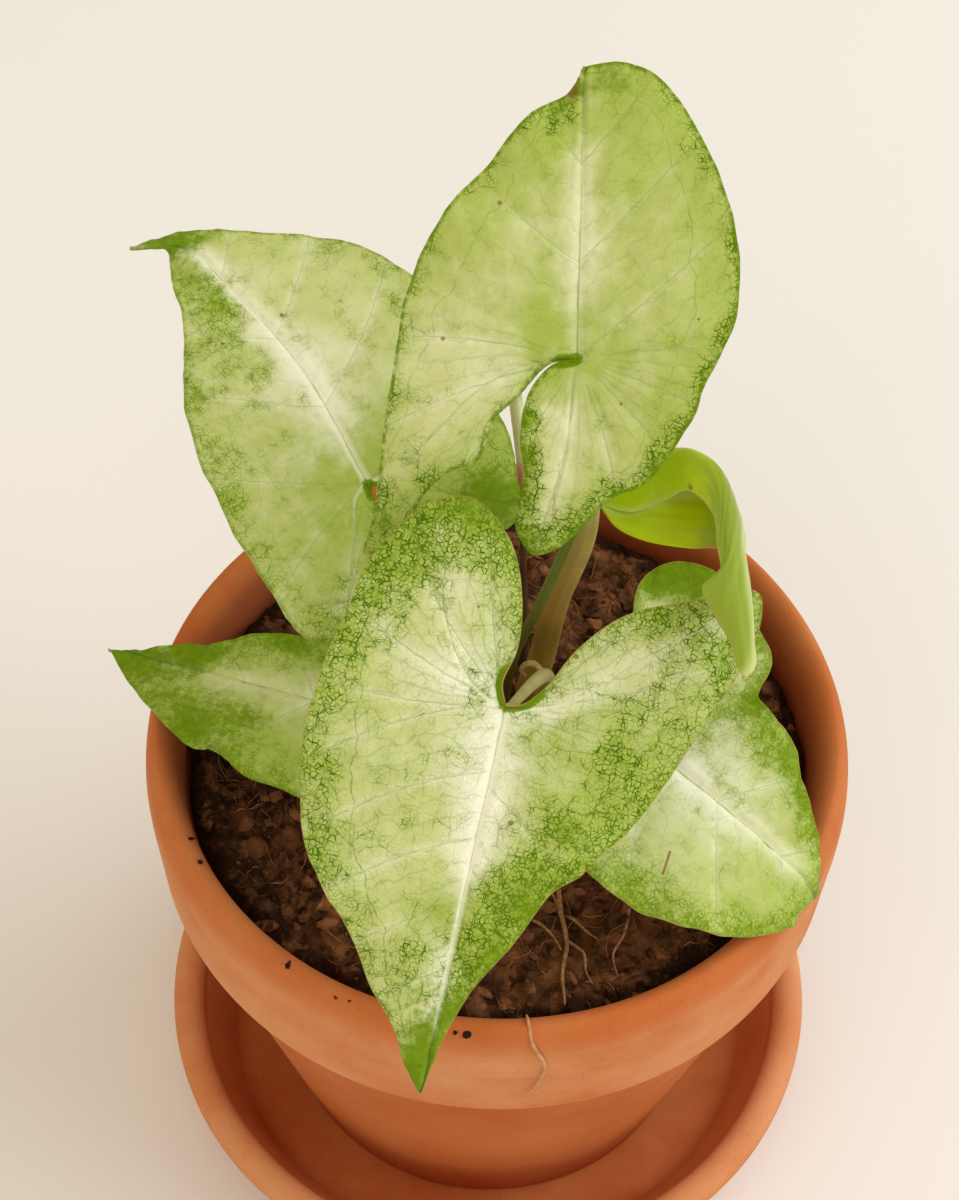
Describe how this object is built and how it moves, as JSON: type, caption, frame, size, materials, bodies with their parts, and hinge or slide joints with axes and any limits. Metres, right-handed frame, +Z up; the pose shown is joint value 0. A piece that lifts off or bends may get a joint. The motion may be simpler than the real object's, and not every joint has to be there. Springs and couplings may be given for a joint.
{
  "type": "potted arrowhead plant",
  "caption": "Small arrowhead plant with variegated arrow-shaped leaves on slim stalks, in a round terracotta pot standing in its saucer.",
  "frame": {"origin": "centre of the saucer's flat underside, on the surface that it stands on", "axes": "+Z up along the axis of the pot and saucer, -Y towards the front, where the largest leaf hangs over the rim, +X to the right"},
  "size_m": [0.1381, 0.1573, 0.2352],
  "materials": {
    "terracotta": "unglazed fired clay, matt and slightly dusty",
    "potting_soil": "loose damp potting soil of composted bark and fibre",
    "variegated_leaf": "living leaf, thin and leathery, satin, pale green netted with darker green",
    "young_leaf": "new leaf, glossy, bright yellow-green",
    "leaf_stalk": "living leaf stalk, satin olive green",
    "dry_sheath": "dry papery leaf sheath",
    "bare_root": "bare fibrous root"
  },
  "bodies": {
    "root": {"saucer": "terracotta", "pot": "terracotta", "soil": "potting_soil", "leaf_blade_front": "variegated_leaf", "leaf_stalk_front": "leaf_stalk", "leaf_blade_tall": "variegated_leaf", "leaf_stalk_tall": "leaf_stalk", "leaf_blade_back_left": "variegated_leaf", "leaf_stalk_back_left": "leaf_stalk", "leaf_blade_low_left": "variegated_leaf", "leaf_stalk_low_left": "leaf_stalk", "leaf_blade_low_right": "variegated_leaf", "leaf_stalk_low_right": "leaf_stalk", "leaf_blade_young": "young_leaf", "leaf_stalk_young": "leaf_stalk", "furled_leaf": "young_leaf", "dry_sheath": "dry_sheath", "surface_root": "bare_root"}
  },
  "joints": []
}
